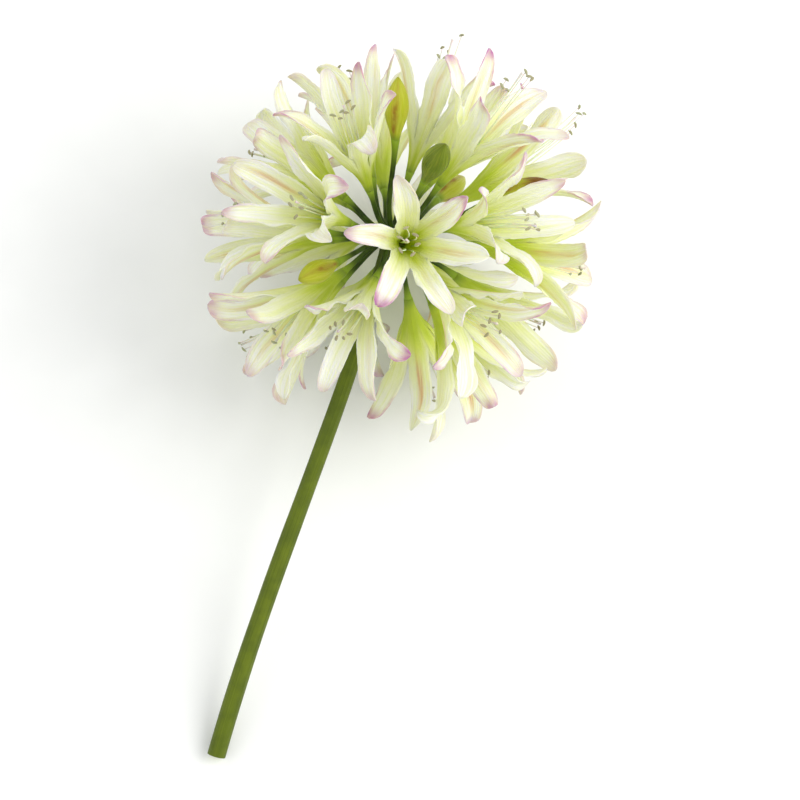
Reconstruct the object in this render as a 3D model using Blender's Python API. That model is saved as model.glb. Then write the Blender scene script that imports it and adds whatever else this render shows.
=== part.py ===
"""Agapanthus flower head on its cut stem, lying on a table.

The stem (scape) runs along -Y from the hub, where thin stalks (pedicels) spread to the florets and buds.
+Z is up and z = 0 is the table top. Lengths are in metres, and angles in degrees where a constant gives them.
"""

import math
import random
from dataclasses import dataclass, field

import bmesh
import bpy
from mathutils import Matrix, Vector

MM = 0.001

# Where the flower lies
HUB = Vector((-4.6, 67.4, 73.0)) * MM
STEM_SLOPE = 17.0

# The stem
STEM_LENGTH = 225.0 * MM
STEM_TOP_RADIUS = 3.1 * MM
STEM_CUT_RADIUS = 3.9 * MM
STEM_SIDES = 12
STEM_STEPS = 9
STEM_BOW = 4.0 * MM
STEM_END_SLOPE = 19.0  # at the cut
TOUCHING = 0.1 * MM  # what ends this near the table touches it

# The hub and its stalks
HUB_RADIUS = 5.0 * MM
STALK_LENGTH = 29.0 * MM
STALK_LEANING = 4.0 * MM  # how much longer the stalks grow on the head's fuller side, and shorter opposite it
FULLER_SIDE = -20.0  # azimuth
SHORTEST_STALK = 16.0 * MM
STALK_SIDES = 5
STALK_STEPS = 5
STALK_RADIUS = 1.05 * MM
STALK_TIP_RADIUS = 1.45 * MM
BOW_SIDEWAYS = 0.7  # how much a stalk leaves the hub sideways to the stem
BOW_BACKWARDS = 0.4  # and back towards it
SEAT_GAP = 0.3 * MM  # between a stalk's end and the floret or bud on it

# One floret: a tube that opens into six tepals, narrower outer ones and wider inner ones by turns
TEPALS = 6
TEPAL_LENGTH = 55.0 * MM  # along the tepal, from the floret's foot to the tip
TUBE_LENGTH = 14.0 * MM
FOOT_RADIUS = 1.6 * MM
TEPAL_THICKNESS = 0.8 * MM
OUTER_HALF_WIDTH = 4.7 * MM
INNER_HALF_WIDTH = 5.6 * MM
TUBE_LEAN = (4.0, 23.0)  # the wall's angle to the floret's axis at the foot and at the throat
TIP_LEAN = 36.0  # how much further a tepal leans out at its tip
TIP_LEAN_GROWTH = 1.8  # above 1, a tepal leans out late
MOST_CURL = 115.0  # what curling back adds at the tip, at most
CURL_FROM = 0.66  # the share of the free tepal where its tip starts to curl back
ROUNDED_FROM = 0.52  # the share of the free tepal where its sides start to round off
CUP = 1.1 * MM  # how far a tepal's edges stand up from its rib
NOTCH = 0.08  # the share of the room round the throat that is left open between neighbouring tepals
OUTPOSTS = (0.55, 0.7, 0.8, 0.88, 0.94)  # shares of a tepal's length where it is kept off the neighbours
SMALLEST_OPENING = -0.3
OPENING_STEP = 0.04
CURL_KEPT = 0.93  # the share of a tip's curl that stays at each step that its tepal closes

# How the lowest florets lie on the table
PRESSED_DEPTH = 2.5 * MM  # how far the lowest tips would reach below the table, were they not pressed
PRESSED_BELOW = 1.6 * MM  # what comes this near the table is pressed flat on it
PRESS_REACH = 9.0 * MM

# One bud: a pointed spindle, given as shares of its length and radius
BUD_LENGTH = 27.0 * MM
BUD_RADIUS = 4.9 * MM
BUD_SIDES = 8
BUD_BEND = 0.06
BUD_OUTLINE = ((0.0, 0.36), (0.12, 0.5), (0.38, 0.92), (0.58, 1.0), (0.8, 0.72), (0.93, 0.36), (1.0, 0.1))
BUD_STALK_EXTRA = (8.0 * MM, 16.0 * MM)

# The share of the head that each keeps to itself, as an angle seen from the hub
FLORET_SHARE = 18.5
BUD_SHARE = 8.5
STEM_SHARE = 15.0
NEIGHBOURHOOD = 80.0
WALL_CLEARANCE = 1.0 * MM

# Rough directions from the hub: azimuth from +X round towards +Y, then height above the horizontal.
# The first rows face up and are the ones seen from above; the last rows face the table.
FLORET_DIRECTIONS = (
    (210, 46), (316, 20), (8, 48), (62, 42), (156, 48), (299, 56),
    (12, 8), (50, 2), (97, 20), (165, 16), (195, 2), (232, 4), (318, -6), (130, 0), (262, 32),
    (0, -28), (75, -22), (38, -32), (112, -30), (150, -26), (186, -36), (228, -34), (318, -44),
    (20, -62), (100, -66), (158, -64), (250, -62),
)
BUD_DIRECTIONS = ((124, 48), (58, 74), (28, 26), (232, 38), (78, -45))

FINISHES = {
    "petal": ((0.86, 0.9, 0.66), 0.55),
    "stalk": ((0.05, 0.13, 0.03), 0.5),
    "stem": ((0.16, 0.22, 0.04), 0.45),
    "bud": ((0.42, 0.5, 0.1), 0.5),
}


def pointing(azimuth, height):
    a, h = math.radians(azimuth), math.radians(height)
    return Vector((math.cos(a) * math.cos(h), math.sin(a) * math.cos(h), math.sin(h)))


# The stem's direction where it meets the hub, and on out of the stem
UP_THE_STEM = pointing(90.0, STEM_SLOPE)


@dataclass
class Site:
    """One place on the head: a floret's, a bud's or the stem's."""

    direction: Vector
    share: float
    fixed: bool = False


def sites():
    """The florets, then the buds, then the stem, pushed apart until each has its own share of the head."""
    places = [Site(pointing(*d), FLORET_SHARE) for d in FLORET_DIRECTIONS]
    places += [Site(pointing(*d), BUD_SHARE) for d in BUD_DIRECTIONS]
    places.append(Site(-UP_THE_STEM, STEM_SHARE, fixed=True))
    for _ in range(200):
        moves = [Vector() for _ in places]
        for i, one in enumerate(places):
            for j, other in enumerate(places):
                apart = one.direction.angle(other.direction) if i != j else math.pi
                short = math.radians(one.share + other.share) - apart
                if short > 0.0:
                    moves[i] += (one.direction - other.direction).normalized() * short * 0.3
        for place, move in zip(places, moves):
            if not place.fixed:
                place.direction = (place.direction + move).normalized()
    return places


def walls(own, places):
    """The planes through the hub between a site and its neighbours, as normals that point away from it."""
    normals = []
    for other in places:
        if other is own:
            continue
        apart = own.direction.angle(other.direction)
        if apart > math.radians(NEIGHBOURHOOD):
            continue
        across = own.direction.cross(other.direction).normalized()
        turned = apart * own.share / (own.share + other.share)
        between = Matrix.Rotation(turned, 3, across) @ own.direction
        normals.append(across.cross(between))
    return normals


@dataclass
class Floret:
    """One floret's place and pose. Its foot is where the stalk ends. The lists hold one value a tepal."""

    direction: Vector
    axis: Vector
    turn: float
    size: float
    foot: Vector = None
    openings: list = field(default_factory=list)
    bends: list = field(default_factory=list)
    twists: list = field(default_factory=list)
    curls: list = field(default_factory=list)

    def placement(self):
        """Moves a point from the floret's own frame (foot at 0, axis along +Z) to its place."""
        side = self.axis.orthogonal().normalized()
        turned = Matrix((side, self.axis.cross(side), self.axis)).transposed()
        return Matrix.Translation(self.foot) @ turned.to_4x4()


def half_width(k, free):
    """Half of tepal k's width, at a share of its free length."""
    widest = INNER_HALF_WIDTH if k % 2 else OUTER_HALF_WIDTH
    rounding = max(0.0, free - ROUNDED_FROM) / (1.0 - ROUNDED_FROM)
    return widest * math.sqrt(max(0.0, 1.0 - rounding * rounding))


def rib(floret, k, s):
    """Radius, height and lean of tepal k's rib at a length s from the floret's foot."""
    steps = 16
    radius, height = FOOT_RADIUS, 0.0
    lean = math.radians(TUBE_LEAN[0])
    step = s / steps
    for i in range(steps):
        here = (i + 0.5) * step
        in_tube = min(1.0, here / TUBE_LENGTH)
        free = max(0.0, here - TUBE_LENGTH) / (TEPAL_LENGTH - TUBE_LENGTH)
        lean = math.radians(
            TUBE_LEAN[0]
            + (TUBE_LEAN[1] - TUBE_LEAN[0]) * in_tube
            + TIP_LEAN * floret.openings[k] * free**TIP_LEAN_GROWTH
            + floret.curls[k] * max(0.0, free - CURL_FROM) / (1.0 - CURL_FROM)
        )
        radius += step * math.sin(lean)
        height += step * math.cos(lean)
    return radius * floret.size, height * floret.size, lean


def tepal_point(floret, k, s, across):
    """A point of tepal k's middle surface in the floret's own frame: s from the foot, across from -1 to 1."""
    radius, height, lean = rib(floret, k, s)
    free = max(0.0, s - TUBE_LENGTH) / (TEPAL_LENGTH - TUBE_LENGTH)
    half = math.pi / TEPALS * radius
    if free > 0.0:
        half = min(half * (1.0 - NOTCH), half_width(k, free) * floret.size)
    bearing = floret.turn + math.radians(360.0 / TEPALS * k + floret.bends[k] * free * free)
    bearing += across * half / radius
    lift = CUP * across * across * math.sin(math.pi * free)
    lift += across * half * math.tan(math.radians(floret.twists[k])) * free * free
    out = radius - lift * math.cos(lean)
    return Vector((out * math.cos(bearing), out * math.sin(bearing), height + lift * math.sin(lean)))


def outposts(floret, k):
    """The points along both edges of tepal k, and its tip, that show how far it reaches."""
    place = floret.placement()
    spots = [(share, side) for share in OUTPOSTS for side in (1.0, -1.0)]
    spots.append((1.0, 0.0))
    return [place @ tepal_point(floret, k, share * TEPAL_LENGTH, across) for share, across in spots]


def open_tepals(floret, normals, wanted):
    """Opens each tepal as far as wanted, or as far as the walls to the neighbours let it."""
    floret.openings = list(wanted)
    for k in range(TEPALS):
        while floret.openings[k] > SMALLEST_OPENING:
            reach = [point - HUB for point in outposts(floret, k)]
            if all(p.dot(n) < -WALL_CLEARANCE for p in reach for n in normals):
                break
            floret.openings[k] -= OPENING_STEP
            floret.curls[k] *= CURL_KEPT


def florets(places):
    """Every floret, placed so that none crosses another and the lowest rest on the table."""
    draw = random.Random(11)
    made = []
    for place in places[: len(FLORET_DIRECTIONS)]:
        tilt = Vector([draw.uniform(-1.0, 1.0) for _ in range(3)]) * 0.1
        floret = Floret(
            direction=place.direction,
            axis=(place.direction + tilt).normalized(),
            turn=draw.uniform(0.0, math.tau),
            size=draw.uniform(0.94, 1.05),
        )
        wide = draw.uniform(0.72, 1.08)
        wanted = [wide + draw.uniform(-0.12, 0.12) for _ in range(TEPALS)]
        floret.bends = [draw.uniform(-9.0, 9.0) for _ in range(TEPALS)]
        floret.twists = [draw.uniform(-16.0, 16.0) for _ in range(TEPALS)]
        floret.curls = [MOST_CURL * draw.random() * draw.random() for _ in range(TEPALS)]
        stalk = STALK_LENGTH + draw.uniform(-2.0, 2.0) * MM
        stalk += STALK_LEANING * place.direction.dot(pointing(FULLER_SIDE, 0.0))
        normals = walls(place, places)
        for _ in range(4):
            floret.foot = HUB + place.direction * stalk
            open_tepals(floret, normals, wanted)
            lowest = min(point.z for k in range(TEPALS) for point in outposts(floret, k))
            if lowest >= -PRESSED_DEPTH or place.direction.z > -0.2:
                break
            stalk = max(SHORTEST_STALK, stalk + (lowest + PRESSED_DEPTH) / -place.direction.z)
        made.append(floret)
    return made


def pressed(point):
    """The point of a middle surface, with what would touch or pass the table pressed flat on it."""
    rest = TEPAL_THICKNESS / 2.0
    if point.z >= PRESS_REACH:
        return point
    slope = (PRESS_REACH - rest) / (PRESS_REACH - PRESSED_BELOW)
    return Vector((point.x, point.y, rest + max(0.0, point.z - PRESSED_BELOW) * slope))


def material(name):
    colour, roughness = FINISHES[name]
    made = bpy.data.materials.new(name)
    made.use_nodes = True
    shader = made.node_tree.nodes["Principled BSDF"]
    shader.inputs["Base Color"].default_value = (*colour, 1.0)
    shader.inputs["Roughness"].default_value = roughness
    shader.inputs["Metallic"].default_value = 0.0
    made.diffuse_color = (*colour, 1.0)
    return made


def mesh_from(name, bm):
    mesh = bpy.data.meshes.new(name)
    bm.to_mesh(mesh)
    bm.free()
    return mesh


def add_object(name, mesh, finish, head):
    """A new smooth object of one finish, carried by the head's empty, which stands at the hub."""
    mesh.materials.append(finish)
    mesh.shade_smooth()
    made = bpy.data.objects.new(name, mesh)
    bpy.context.scene.collection.objects.link(made)
    made.parent = head
    return made


def settle_modifiers(made):
    """Replaces an object's mesh by what its modifiers make of it."""
    settled = bpy.data.meshes.new_from_object(made.evaluated_get(bpy.context.evaluated_depsgraph_get()))
    made.modifiers.clear()
    made.data = settled


def add_floret(name, floret, finish, head):
    """A closed foot, the tube and six separate tepals, all in triangles and given their thickness."""
    bm = bmesh.new()
    place = floret.placement()
    back = place.inverted()

    def corner(k, s, across):
        return bm.verts.new(back @ pressed(place @ tepal_point(floret, k, s, across)))

    def split(a, b, c, d):
        bm.faces.new((a, b, c))
        bm.faces.new((a, c, d))

    lowest = TEPAL_THICKNESS / 2.0
    foot = bm.verts.new((0.0, 0.0, lowest))
    rings = []
    for s in (lowest, 0.5 * TUBE_LENGTH, TUBE_LENGTH):
        rings.append([corner(i // 2, s, i % 2) for i in range(2 * TEPALS)])
    for i in range(2 * TEPALS):
        j = (i + 1) % (2 * TEPALS)
        bm.faces.new((foot, rings[0][j], rings[0][i]))
        for low, high in zip(rings, rings[1:]):
            split(low[i], low[j], high[j], high[i])
    for k in range(TEPALS):
        row = [rings[-1][(2 * k + i) % (2 * TEPALS)] for i in (-1, 0, 1)]
        for free in (0.18, 0.42, 0.66, 0.88):
            s = TUBE_LENGTH + free * (TEPAL_LENGTH - TUBE_LENGTH)
            above = [corner(k, s, across) for across in (-1.0, 0.0, 1.0)]
            split(row[0], row[1], above[1], above[0])
            split(row[1], row[2], above[2], above[1])
            row = above
        tip = corner(k, TEPAL_LENGTH, 0.0)
        bm.faces.new((row[0], row[1], tip))
        bm.faces.new((row[1], row[2], tip))

    made = add_object(name, mesh_from(name, bm), finish, head)
    thicken = made.modifiers.new("thickness", "SOLIDIFY")
    thicken.thickness = TEPAL_THICKNESS
    thicken.offset = 0.0
    settle_modifiers(made)
    for vertex in made.data.vertices:
        spot = place @ vertex.co
        if spot.z < TEPAL_THICKNESS * 0.4:
            spot.z = 0.0
            vertex.co = back @ spot
    made.matrix_basis = Matrix.Translation(-HUB) @ place
    return made


def along_curve(p0, p1, p2, p3, steps):
    """Points at even shares of a cubic curve."""
    points = []
    for i in range(steps + 1):
        t = i / steps
        u = 1.0 - t
        points.append(p0 * u**3 + p1 * (3 * u * u * t) + p2 * (3 * u * t * t) + p3 * t**3)
    return points


def sweep_mesh(name, points, radii, sides, up):
    """A closed solid with a many-sided section that follows the points, one of its flats facing down."""
    bm = bmesh.new()
    rings = []
    for i, (point, radius) in enumerate(zip(points, radii)):
        ahead = (points[min(i + 1, len(points) - 1)] - points[max(i - 1, 0)]).normalized()
        right = ahead.cross(up).normalized()
        top = right.cross(ahead)
        ring = []
        for j in range(sides):
            angle = math.tau * (j + 0.5) / sides - math.pi / 2.0
            ring.append(bm.verts.new(point + (right * math.cos(angle) + top * math.sin(angle)) * radius))
        rings.append(ring)
    for low, high in zip(rings, rings[1:]):
        for j in range(sides):
            bm.faces.new((low[j], low[(j + 1) % sides], high[(j + 1) % sides], high[j]))
    bm.faces.new(list(reversed(rings[0])))
    bm.faces.new(rings[-1])
    bmesh.ops.recalc_face_normals(bm, faces=bm.faces)
    return mesh_from(name, bm)


def add_stem(finish, head):
    """The scape: nearly straight, thicker towards the cut, whose lower edge touches the table."""
    rim_height = STEM_CUT_RADIUS * math.cos(math.pi / STEM_SIDES) * math.cos(math.radians(STEM_END_SLOPE))
    drop = HUB.z - rim_height
    cut = Vector((0.0, -math.sqrt(STEM_LENGTH**2 - drop**2), -drop))
    top = -UP_THE_STEM * (HUB_RADIUS + SEAT_GAP)
    path = along_curve(
        top,
        top - UP_THE_STEM * (STEM_LENGTH * 0.35) + Vector((STEM_BOW, 0.0, 0.0)),
        cut + pointing(90.0, STEM_END_SLOPE) * (STEM_LENGTH * 0.35) - Vector((STEM_BOW, 0.0, 0.0)),
        cut,
        STEM_STEPS,
    )
    radii = [STEM_TOP_RADIUS + (STEM_CUT_RADIUS - STEM_TOP_RADIUS) * i / STEM_STEPS for i in range(len(path))]
    mesh = sweep_mesh("scape", path, radii, STEM_SIDES, Vector((0.0, 0.0, 1.0)))
    for vertex in mesh.vertices:
        if vertex.co.z + HUB.z < TOUCHING:
            vertex.co.z = -HUB.z
    made = add_object("scape", mesh, finish, head)
    made.data.set_sharp_from_angle(angle=math.radians(50.0))
    return made


def stalk_mesh(name, direction, foot, axis):
    """A stalk, seen from the hub: it leaves sideways and a little back, then bends up to its flower."""
    upward = direction.dot(UP_THE_STEM)
    sideways = direction - UP_THE_STEM * upward
    back = BOW_BACKWARDS * sideways.length * min(1.0, 1.0 + upward)
    leaving = (direction + sideways * BOW_SIDEWAYS - UP_THE_STEM * back).normalized()
    path = along_curve(
        direction * HUB_RADIUS * 0.3,
        leaving * foot.length * 0.42,
        foot - axis * foot.length * 0.38,
        foot - axis * SEAT_GAP,
        STALK_STEPS,
    )
    radii = [STALK_RADIUS] * STALK_STEPS + [STALK_TIP_RADIUS]
    return sweep_mesh(name, path, radii, STALK_SIDES, axis.orthogonal())


def add_umbel(stalks, finish, head):
    """The hub with every stalk joined to it in one solid; stalks holds their directions, feet and axes."""
    bm = bmesh.new()
    bmesh.ops.create_uvsphere(bm, u_segments=12, v_segments=7, radius=HUB_RADIUS)
    bmesh.ops.rotate(bm, verts=bm.verts, matrix=UP_THE_STEM.to_track_quat("Z", "Y").to_matrix())
    hub = add_object("umbel_stalks", mesh_from("umbel_stalks", bm), finish, head)

    loose = bpy.data.collections.new("stalks")
    bpy.context.scene.collection.children.link(loose)
    for n, (direction, foot, axis) in enumerate(stalks):
        stalk = bpy.data.objects.new(f"stalk_{n}", stalk_mesh(f"stalk_{n}", direction, foot, axis))
        stalk.parent = head
        loose.objects.link(stalk)
    join = hub.modifiers.new("join", "BOOLEAN")
    join.operation = "UNION"
    join.operand_type = "COLLECTION"
    join.collection = loose
    join.solver = "EXACT"
    settle_modifiers(hub)
    for stalk in list(loose.objects):
        bpy.data.objects.remove(stalk)
    bpy.data.collections.remove(loose)
    return hub


def add_bud(name, foot, axis, size, finish, head):
    """A closed bud on the end of its stalk: a spindle along +Z that bends a little to one side."""
    path = [Vector((BUD_BEND * along * along, 0.0, along)) * BUD_LENGTH * size for along, _ in BUD_OUTLINE]
    radii = [BUD_RADIUS * size * wide for _, wide in BUD_OUTLINE]
    made = add_object(name, sweep_mesh(name, path, radii, BUD_SIDES, Vector((1.0, 0.0, 0.0))), finish, head)
    made.location = foot
    made.rotation_mode = "QUATERNION"
    made.rotation_quaternion = axis.to_track_quat("Z", "X")
    return made


def build():
    for old in list(bpy.data.objects):
        bpy.data.objects.remove(old)
    head = bpy.data.objects.new("flower_head", None)
    bpy.context.scene.collection.objects.link(head)
    head.location = HUB
    finishes = {name: material(name) for name in FINISHES}

    places = sites()
    blooms = florets(places)
    stalks = []
    for n, floret in enumerate(blooms, start=1):
        add_floret(f"floret_{n:02d}", floret, finishes["petal"], head)
        stalks.append((floret.direction, floret.foot - HUB, floret.axis))

    draw = random.Random(5)
    for n, place in enumerate(places[len(blooms) : -1], start=1):
        foot = place.direction * (STALK_LENGTH + draw.uniform(*BUD_STALK_EXTRA))
        add_bud(f"bud_{n}", foot, place.direction, draw.uniform(0.82, 1.05), finishes["bud"], head)
        stalks.append((place.direction, foot, place.direction))
    add_umbel(stalks, finishes["stalk"], head)
    add_stem(finishes["stem"], head)


build()
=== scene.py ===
import math
import random

import bmesh
import bpy
from mathutils import Matrix, Vector


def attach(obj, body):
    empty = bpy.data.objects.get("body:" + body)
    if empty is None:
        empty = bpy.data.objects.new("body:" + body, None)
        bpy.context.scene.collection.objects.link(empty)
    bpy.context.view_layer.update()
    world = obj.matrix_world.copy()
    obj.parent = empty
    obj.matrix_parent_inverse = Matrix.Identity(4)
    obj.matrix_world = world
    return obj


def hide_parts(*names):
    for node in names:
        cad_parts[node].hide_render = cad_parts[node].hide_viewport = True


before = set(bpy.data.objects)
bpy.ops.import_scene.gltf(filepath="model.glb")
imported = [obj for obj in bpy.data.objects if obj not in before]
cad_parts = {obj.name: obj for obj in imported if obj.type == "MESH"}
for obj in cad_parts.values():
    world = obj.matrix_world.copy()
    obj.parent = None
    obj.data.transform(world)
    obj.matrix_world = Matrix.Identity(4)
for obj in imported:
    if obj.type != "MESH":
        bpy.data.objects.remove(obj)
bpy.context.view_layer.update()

# Scape
# The flower's leafless main stem, green and solid to the touch, cut off straight with a knife. It grew as one
# straight rod with faint lengthwise ridges, a little thicker towards the ground. Now it leans on the table by
# the lower edge of its cut, and the hub at its top carries the whole head.

MM = 0.001
HUB = Vector((-4.6, 67.4, 73.0)) * MM
HUB_RADIUS = 5.0 * MM
STEM_SLOPE = 17.0  # degrees
STEM_LENGTH = 225.0 * MM
STEM_TOP_RADIUS = 3.1 * MM
STEM_CUT_RADIUS = 3.9 * MM
STEM_FACETS = 12  # the flats of the solid stem, which set how high its end lies
STEM_BOW = 4.0 * MM
STEM_END_SLOPE = 19.0  # at the cut
STEM_HANDLES = 0.35  # how far it keeps its way from either end, as a share of its length
STEM_ROOTED = 0.6  # where it starts in the hub, as a share of the hub's radius
STEM_FLARE = 0.9 * MM
FLARE_ENDS = 0.03  # as a share of its length
STEM_SIDES = 48
STEM_RINGS = 90
STEM_RIDGES = 11
RIDGE_HEIGHT = 0.022  # as a share of the stem's radius
CUT_DISH = 0.25 * MM  # how far the soft pith has sunk in below the rind
PITH_RINGS = (0.93, 0.82, 0.6, 0.35)  # rings of the cut face, as shares of its radius


def screen(red, green, blue):
    """A colour as a screen shows it, from 0 to 255, as the shaders want it."""
    shares = [part / 255.0 for part in (red, green, blue)]
    linear = [s / 12.92 if s <= 0.04045 else ((s + 0.055) / 1.055) ** 2.4 for s in shares]
    return (*linear, 1.0)


SCAPE_GREEN = screen(90, 106, 12)
SCAPE_LIGHT_GREEN = screen(118, 132, 30)
SCAPE_DARK_GREEN = screen(56, 72, 14)
PITH_CREAM = screen(206, 214, 152)
PITH_GREEN = screen(132, 158, 78)


def pointing(azimuth, height):
    a, h = math.radians(azimuth), math.radians(height)
    return Vector((math.cos(a) * math.cos(h), math.sin(a) * math.cos(h), math.sin(h)))


UP_THE_STEM = pointing(90.0, STEM_SLOPE)


def supply(tree, socket, value):
    """Feeds an output to a socket, or sets the socket to a value."""
    if isinstance(value, bpy.types.NodeSocket):
        tree.links.new(value, socket)
    else:
        socket.default_value = value


def node(tree, kind, inputs=None, **settings):
    """A new node with its settings and inputs, each a value or the output that feeds it.

    Gives its main output.
    """
    made = tree.nodes.new(kind)
    for name, value in settings.items():
        setattr(made, name, value)
    for name, value in (inputs or {}).items():
        supply(tree, made.inputs[name], value)
    return made.outputs[0]


def reckoned(tree, operation, *values):
    """The result of a sum on values or outputs."""
    return node(tree, "ShaderNodeMath", dict(enumerate(values)), operation=operation)


def times(tree, one, other):
    return reckoned(tree, "MULTIPLY", one, other)


def ramped(tree, value, low, high, bottom=0.0, top=1.0):
    """Goes softly from bottom to top as the value goes from low to high."""
    limits = {"Value": value, "From Min": low, "From Max": high, "To Min": bottom, "To Max": top}
    return node(tree, "ShaderNodeMapRange", limits, interpolation_type="SMOOTHSTEP")


def covered(tree, under, mask, over, share=1.0):
    """The colour under, with a share of the colour over wherever the mask is 1."""
    if share < 1.0:
        mask = times(tree, mask, share)
    mix = tree.nodes.new("ShaderNodeMix")
    mix.data_type = "RGBA"
    for place, value in ((0, mask), (6, under), (7, over)):
        supply(tree, mix.inputs[place], value)
    return mix.outputs[2]


def noted(tree, name):
    """What the mesh notes at each point under this name."""
    made = tree.nodes.new("ShaderNodeAttribute")
    made.attribute_name = name
    return made.outputs["Fac"]


def group(name, inputs, outputs):
    """A new node group with these number inputs and outputs.

    Gives it with its inner input node and output node.
    """
    made = bpy.data.node_groups.new(name, "ShaderNodeTree")
    for label, start in inputs.items():
        made.interface.new_socket(label, in_out="INPUT", socket_type="NodeSocketFloat").default_value = start
    for label in outputs:
        made.interface.new_socket(label, in_out="OUTPUT", socket_type="NodeSocketFloat")
    return made, made.nodes.new("NodeGroupInput").outputs, made.nodes.new("NodeGroupOutput").inputs


def placed(tree, which, inputs):
    """Puts a node group in a material with its own values. Gives the outputs."""
    made = tree.nodes.new("ShaderNodeGroup")
    made.node_tree = which
    for name, value in inputs.items():
        supply(tree, made.inputs[name], value)
    return made.outputs


def build_veins():
    """Fine streaks and veins along a stem, stalk, tepal or bud: a mask for colour, a height for bump."""
    tree, given, result = group("lengthwise_veins", {"Along": 0.0, "Across": 0.0, "Count": 8.0, "Seed": 0.0},
                                ("Streaks", "Height"))
    crosswise = times(tree, given["Across"], given["Count"])
    wander = node(tree, "ShaderNodeTexNoise",
                  {"Vector": node(tree, "ShaderNodeCombineXYZ",
                                  {"X": times(tree, given["Along"], 5.0), "Z": given["Seed"]}),
                   "Scale": 1.0, "Detail": 1.0})
    swayed = reckoned(tree, "ADD", crosswise, times(tree, wander, 0.7))
    spot = node(tree, "ShaderNodeCombineXYZ",
                {"X": swayed, "Y": times(tree, given["Along"], 2.2), "Z": given["Seed"]})
    streaks = node(tree, "ShaderNodeTexNoise",
                   {"Vector": spot, "Scale": 1.0, "Detail": 3.0, "Roughness": 0.55})
    tree.links.new(ramped(tree, streaks, 0.36, 0.66), result["Streaks"])
    ribs = reckoned(tree, "SINE", times(tree, swayed, math.tau))
    height = reckoned(tree, "ADD", times(tree, ribs, 0.35), streaks)
    tree.links.new(height, result["Height"])
    return tree


def build_mottle():
    """Soft uneven patches over a grown surface, and a fine grain: masks for colour and roughness."""
    tree, given, result = group("mottle", {"Patch size mm": 6.0, "Grain size mm": 0.4, "Seed": 0.0},
                                ("Patches", "Grain"))
    spot = node(tree, "ShaderNodeVectorMath",
                {0: tree.nodes.new("ShaderNodeTexCoord").outputs["Object"],
                 1: node(tree, "ShaderNodeCombineXYZ", {"X": given["Seed"], "Y": given["Seed"]})},
                operation="ADD")
    for label, size, softness in (("Patches", "Patch size mm", (0.35, 0.65)),
                                  ("Grain", "Grain size mm", (0.3, 0.7))):
        scale = reckoned(tree, "DIVIDE", 1.0 / MM, given[size])
        noise = node(tree, "ShaderNodeTexNoise", {"Vector": spot, "Scale": scale, "Detail": 3.0})
        tree.links.new(ramped(tree, noise, *softness), result[label])
    return tree


VEINS = build_veins()
MOTTLE = build_mottle()


def new_material(name):
    """An empty material, with its node tree and its main shader."""
    made = bpy.data.materials.new(name)
    made.use_nodes = True
    return made, made.node_tree, made.node_tree.nodes["Principled BSDF"]


def feed(tree, shader, **sources):
    """Links outputs to the shader's sockets or sets them, with words_joined for a socket's name."""
    for name, source in sources.items():
        supply(tree, shader.inputs[name.replace("_", " ")], source)


def raised(tree, height, depth):
    """A surface bumped by a height, its full depth given in metres."""
    return node(tree, "ShaderNodeBump", {"Height": height, "Distance": depth, "Strength": 1.0})


def scape_skin():
    made, tree, shader = new_material("scape_skin")
    along = noted(tree, "along")
    veins = placed(tree, VEINS, {"Along": along, "Across": noted(tree, "across"), "Count": 26.0})
    mottle = placed(tree, MOTTLE, {"Patch size mm": 9.0, "Grain size mm": 0.5})
    green = covered(tree, SCAPE_GREEN, veins["Streaks"], SCAPE_LIGHT_GREEN, 0.45)
    green = covered(tree, green, mottle["Patches"], SCAPE_DARK_GREEN, 0.35)
    # Painted shade: the stem is darkened towards the hub, where it runs in among the florets
    green = covered(tree, green, ramped(tree, along, 0.16, 0.0, 0.0, 0.75), SCAPE_DARK_GREEN)
    height = reckoned(tree, "ADD", veins["Height"], times(tree, mottle["Grain"], 0.25))
    feed(tree, shader, Base_Color=green, Roughness=ramped(tree, mottle["Grain"], 0.0, 1.0, 0.42, 0.58),
         Normal=raised(tree, height, 0.12 * MM), Specular_IOR_Level=0.22)
    return made


def scape_cut():
    """The cut face: a green rind, then pale moist pith with the dots of its sap tubes."""
    made, tree, shader = new_material("scape_cut")
    outward = noted(tree, "along")
    spot = tree.nodes.new("ShaderNodeTexCoord").outputs["Object"]
    tubes = tree.nodes.new("ShaderNodeTexVoronoi")
    tubes.inputs["Scale"].default_value = 1100.0
    tree.links.new(spot, tubes.inputs["Vector"])
    dots = ramped(tree, tubes.outputs["Distance"], 0.34, 0.2)
    pith = covered(tree, PITH_CREAM, dots, PITH_GREEN, 0.6)
    face = covered(tree, pith, ramped(tree, outward, 0.78, 0.95), SCAPE_GREEN)
    feed(tree, shader, Base_Color=face, Roughness=ramped(tree, dots, 0.0, 1.0, 0.35, 0.6),
         Normal=raised(tree, times(tree, dots, -1.0), 0.1 * MM))
    return made


def along_curve(p0, p1, p2, p3, steps):
    """Points at even shares of a cubic curve."""
    points = []
    for i in range(steps + 1):
        t = i / steps
        u = 1.0 - t
        points.append(p0 * u**3 + p1 * (3 * u * u * t) + p2 * (3 * u * t * t) + p3 * t**3)
    return points


def join_rings(bm, rings):
    """Faces between each closed ring of points and the next."""
    for low, high in zip(rings, rings[1:]):
        for i in range(len(low)):
            j = (i + 1) % len(low)
            bm.faces.new((low[i], low[j], high[j], high[i]))


def notes_of(bm, name):
    """Where the mesh notes a number for each point under this name."""
    return bm.verts.layers.float.get(name) or bm.verts.layers.float.new(name)


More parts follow.
